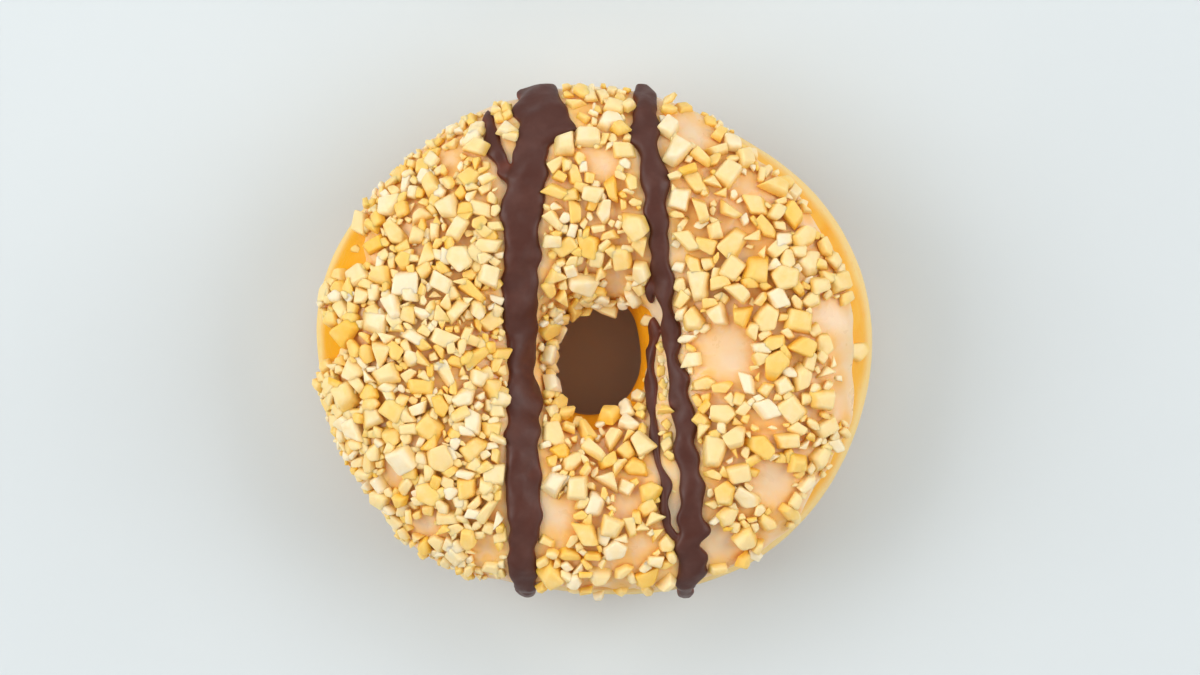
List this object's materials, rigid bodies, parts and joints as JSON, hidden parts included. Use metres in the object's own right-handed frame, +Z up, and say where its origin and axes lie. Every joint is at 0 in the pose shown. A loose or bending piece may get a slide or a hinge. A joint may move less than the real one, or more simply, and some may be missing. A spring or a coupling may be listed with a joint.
{
  "type": "iced almond ring doughnut",
  "caption": "Ring doughnut lying flat, pale icing on top covered with chopped almonds and crossed by lines of dark chocolate that run over the rim.",
  "frame": {"origin": "centre of the doughnut's box at the surface that it lies on", "axes": "+X along the longest width, to the right of the picture; +Y to the top of the picture; +Z up, the icing's side"},
  "size_m": [0.0931, 0.0857, 0.035],
  "materials": {
    "dough": "fried yeast dough, golden with a pale band round the waist",
    "icing": "set sugar icing, pale peach, soft sheen",
    "almond": "chopped blanched almond, cream to yellow",
    "chocolate": "set dark chocolate, soft gloss"
  },
  "bodies": {
    "root": {"dough_ring": "dough", "almond_icing": "icing"}
  },
  "joints": []
}
